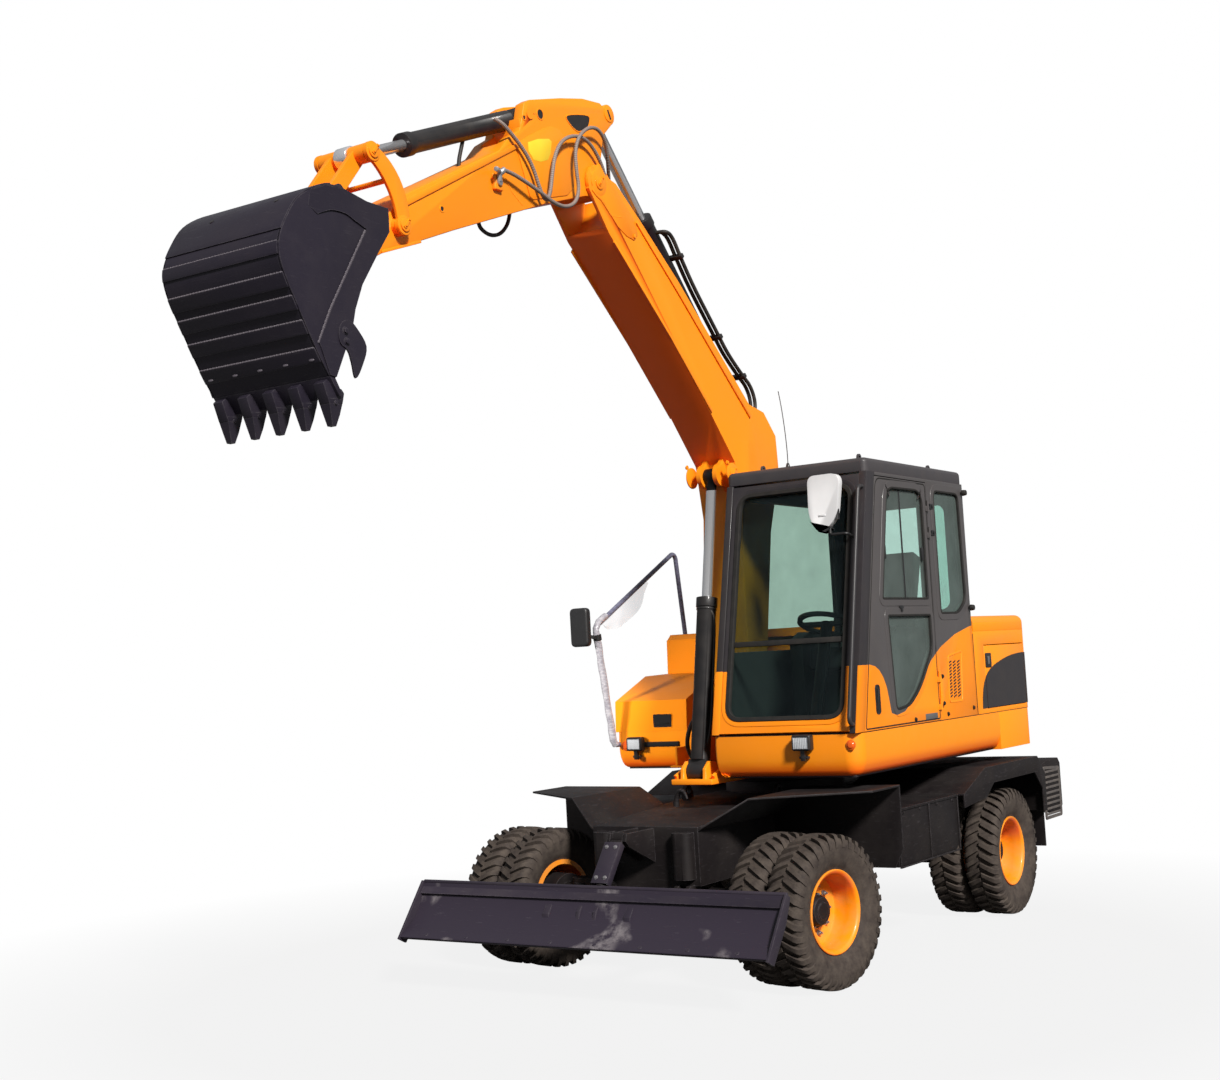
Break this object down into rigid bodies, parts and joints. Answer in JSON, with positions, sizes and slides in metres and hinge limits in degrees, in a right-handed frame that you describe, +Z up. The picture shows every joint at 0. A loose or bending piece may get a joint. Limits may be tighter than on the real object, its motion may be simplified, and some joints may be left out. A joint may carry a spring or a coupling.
{
  "type": "wheeled excavator",
  "caption": "Wheeled excavator with a raised boom, arm and bucket, a swinging cab house, twin tyres and a front dozer blade.",
  "frame": {"origin": "on the ground, at the middle of the whole machine's box in X and Y", "axes": "+Z up, the machine faces -Y, +X is its left-hand (cab) side"},
  "size_m": [2.5698, 7.073, 5.227],
  "materials": {
    "chassis_black": "satin",
    "bucket_black": "satin",
    "tyre": "matt",
    "rim_orange": "gloss",
    "body_orange": "gloss",
    "cab_grey": "satin",
    "cylinder_black": "satin",
    "chrome": "polished",
    "glass": "clear",
    "seat_fabric": "woven",
    "black_plastic": "moulded",
    "engine_iron": "cast",
    "rail_steel": "satin"
  },
  "bodies": {
    "chassis": {"chassis_frame": "chassis_black", "slew_ring": "chassis_black", "side_boxes": "chassis_black", "front_fenders": "chassis_black", "rear_fenders": "chassis_black", "rear_guards": "chassis_black", "front_axle": "chassis_black", "rear_axle": "chassis_black"},
    "blade": {"blade": "chassis_black"},
    "blade_cylinder_barrel": {"blade_cylinder_barrel": "chassis_black"},
    "blade_cylinder_rod": {"blade_cylinder_rod": "chrome"},
    "knuckle_left": {"steering_knuckle_left": "chassis_black"},
    "knuckle_right": {"steering_knuckle_right": "chassis_black"},
    "front_left_wheel": {"front_left_tyres": "tyre", "front_left_rim": "rim_orange"},
    "front_right_wheel": {"front_right_tyres": "tyre", "front_right_rim": "rim_orange"},
    "rear_left_wheel": {"rear_left_tyres": "tyre", "rear_left_rim": "rim_orange"},
    "rear_right_wheel": {"rear_right_tyres": "tyre", "rear_right_rim": "rim_orange"},
    "house": {"house_frame": "cab_grey", "boom_bracket": "body_orange", "lower_body": "body_orange", "counterweight": "body_orange", "tank_cover": "body_orange", "bay_walls": "body_orange", "engine": "engine_iron", "cab_left": "cab_grey", "cab_right": "cab_grey", "cab_front": "cab_grey", "cab_rear": "cab_grey", "cab_roof": "cab_grey", "cab_floor": "cab_grey", "cab_glass": "glass", "operator_seat": "seat_fabric", "cab_controls": "black_plastic", "handrails": "rail_steel", "mirrors": "black_plastic"},
    "side_door": {"side_door": "body_orange"},
    "engine_hood": {"engine_hood": "body_orange"},
    "cab_door": {"cab_door": "cab_grey", "door_glass": "glass"},
    "boom": {"boom": "body_orange"},
    "lift_cylinder_barrel": {"lift_cylinder_barrel": "cylinder_black"},
    "lift_cylinder_rod": {"lift_cylinder_rod": "chrome"},
    "arm": {"arm": "body_orange"},
    "arm_cylinder_barrel": {"arm_cylinder_barrel": "cylinder_black"},
    "arm_cylinder_rod": {"arm_cylinder_rod": "chrome"},
    "bucket": {"bucket": "bucket_black", "bucket_teeth": "bucket_black"},
    "bucket_rocker": {"bucket_rocker": "body_orange"},
    "bucket_link": {"bucket_link": "body_orange"},
    "bucket_cylinder_barrel": {"bucket_cylinder_barrel": "cylinder_black"},
    "bucket_cylinder_rod": {"bucket_cylinder_rod": "chrome"}
  },
  "joints": [
    {"name": "house_swing", "type": "hinge", "parent": "chassis", "child": "house", "pos_m": [0, 1.43, 1.04], "axis": [0, 0, 1], "continuous": true},
    {"name": "boom_lift", "type": "hinge", "parent": "house", "child": "boom", "pos_m": [0, 0.88, 1.73], "axis": [-1, 0, 0], "range_deg": [-55, 3]},
    {"name": "lift_cylinder_swing", "type": "hinge", "parent": "house", "child": "lift_cylinder_barrel", "pos_m": [0, 0.324, 1.17], "axis": [-1, 0, 0], "range_deg": [-39.2, 2.3]},
    {"name": "lift_cylinder_stroke", "type": "slide", "parent": "lift_cylinder_barrel", "child": "lift_cylinder_rod", "axis": [0, 0.1923, 0.9813], "range_m": [-0.601, 0.034]},
    {"name": "arm_swing", "type": "hinge", "parent": "boom", "child": "arm", "pos_m": [0, -0.68, 4.7], "axis": [1, 0, 0], "range_deg": [-35, 42]},
    {"name": "arm_cylinder_swing", "type": "hinge", "parent": "boom", "child": "arm_cylinder_barrel", "pos_m": [0, 1.164, 3.408], "axis": [1, 0, 0], "range_deg": [-3.3, 3.9]},
    {"name": "arm_cylinder_stroke", "type": "slide", "parent": "arm_cylinder_barrel", "child": "arm_cylinder_rod", "axis": [0, -0.6854, 0.7281], "range_m": [-0.258, 0.309]},
    {"name": "bucket_curl", "type": "hinge", "parent": "arm", "child": "bucket", "pos_m": [0, -2.705, 3.99], "axis": [1, 0, 0], "range_deg": [-60, 90]},
    {"name": "bucket_rocker_swing", "type": "hinge", "parent": "arm", "child": "bucket_rocker", "pos_m": [0, -2.47, 4.1], "axis": [1, 0, 0], "range_deg": [-38, 56.9]},
    {"name": "bucket_link_swing", "type": "hinge", "parent": "bucket", "child": "bucket_link", "pos_m": [0, -2.905, 4.155], "axis": [1, 0, 0], "range_deg": [-61.3, 40.9]},
    {"name": "bucket_cylinder_swing", "type": "hinge", "parent": "arm", "child": "bucket_cylinder_barrel", "pos_m": [0, -1.3, 4.968], "axis": [1, 0, 0], "range_deg": [-3.1, 4.5]},
    {"name": "bucket_cylinder_stroke", "type": "slide", "parent": "bucket_cylinder_barrel", "child": "bucket_cylinder_rod", "axis": [0, -0.9312, -0.3644], "range_m": [-0.229, 0.343]},
    {"name": "blade_lift", "type": "hinge", "parent": "chassis", "child": "blade", "pos_m": [0, -0.43, 0.48], "axis": [-1, 0, 0], "range_deg": [-30, 6]},
    {"name": "blade_cylinder_swing", "type": "hinge", "parent": "chassis", "child": "blade_cylinder_barrel", "pos_m": [0, -0.61, 0.86], "axis": [-1, 0, 0], "range_deg": [-18.3, 3.8]},
    {"name": "blade_cylinder_stroke", "type": "slide", "parent": "blade_cylinder_barrel", "child": "blade_cylinder_rod", "axis": [0, -0.6206, -0.7841], "range_m": [-0.038, 0.185]},
    {"name": "steer_left", "type": "hinge", "parent": "chassis", "child": "knuckle_left", "pos_m": [0.6, -0.17, 0.43], "axis": [0, 0, 1], "range_deg": [-19, 37]},
    {"name": "steer_right", "type": "hinge", "parent": "chassis", "child": "knuckle_right", "pos_m": [-0.6, -0.17, 0.43], "axis": [0, 0, 1], "range_deg": [-19, 37]},
    {"name": "front_left_spin", "type": "hinge", "parent": "knuckle_left", "child": "front_left_wheel", "pos_m": [0.6, -0.17, 0.43], "axis": [0.9877, -0.1564, 0], "continuous": true},
    {"name": "front_right_spin", "type": "hinge", "parent": "knuckle_right", "child": "front_right_wheel", "pos_m": [-0.6, -0.17, 0.43], "axis": [0.9877, -0.1564, 0], "continuous": true},
    {"name": "rear_left_spin", "type": "hinge", "parent": "chassis", "child": "rear_left_wheel", "pos_m": [1, 2.45, 0.43], "axis": [1, 0, 0], "continuous": true},
    {"name": "rear_right_spin", "type": "hinge", "parent": "chassis", "child": "rear_right_wheel", "pos_m": [-1, 2.45, 0.43], "axis": [1, 0, 0], "continuous": true},
    {"name": "cab_door_hinge", "type": "hinge", "parent": "house", "child": "cab_door", "pos_m": [1.158, 1.482, 2], "axis": [0, 0, 1], "range_deg": [0, 160]},
    {"name": "side_door_hinge", "type": "hinge", "parent": "house", "child": "side_door", "pos_m": [1.156, 3.062, 1.6], "axis": [0, 0, 1], "range_deg": [0, 110]},
    {"name": "hood_hinge", "type": "hinge", "parent": "house", "child": "engine_hood", "pos_m": [0, 2.131, 2.062], "axis": [1, 0, 0], "range_deg": [0, 60]}
  ],
  "couplings": [
    {"joint": "lift_cylinder_swing", "follows": "boom_lift", "ratio": 0.71},
    {"joint": "lift_cylinder_stroke", "follows": "boom_lift", "m_per_rad": 0.625},
    {"joint": "arm_cylinder_swing", "follows": "arm_swing", "ratio": 0.09},
    {"joint": "arm_cylinder_stroke", "follows": "arm_swing", "m_per_rad": 0.42},
    {"joint": "bucket_rocker_swing", "follows": "bucket_curl", "ratio": 0.6303},
    {"joint": "bucket_link_swing", "follows": "bucket_curl", "ratio": -0.6791},
    {"joint": "bucket_cylinder_swing", "follows": "bucket_curl", "ratio": 0.0486},
    {"joint": "bucket_cylinder_stroke", "follows": "bucket_curl", "m_per_rad": 0.2177},
    {"joint": "blade_cylinder_swing", "follows": "blade_lift", "ratio": 0.6045},
    {"joint": "blade_cylinder_stroke", "follows": "blade_lift", "m_per_rad": -0.3509},
    {"joint": "steer_right", "follows": "steer_left", "ratio": 1}
  ]
}
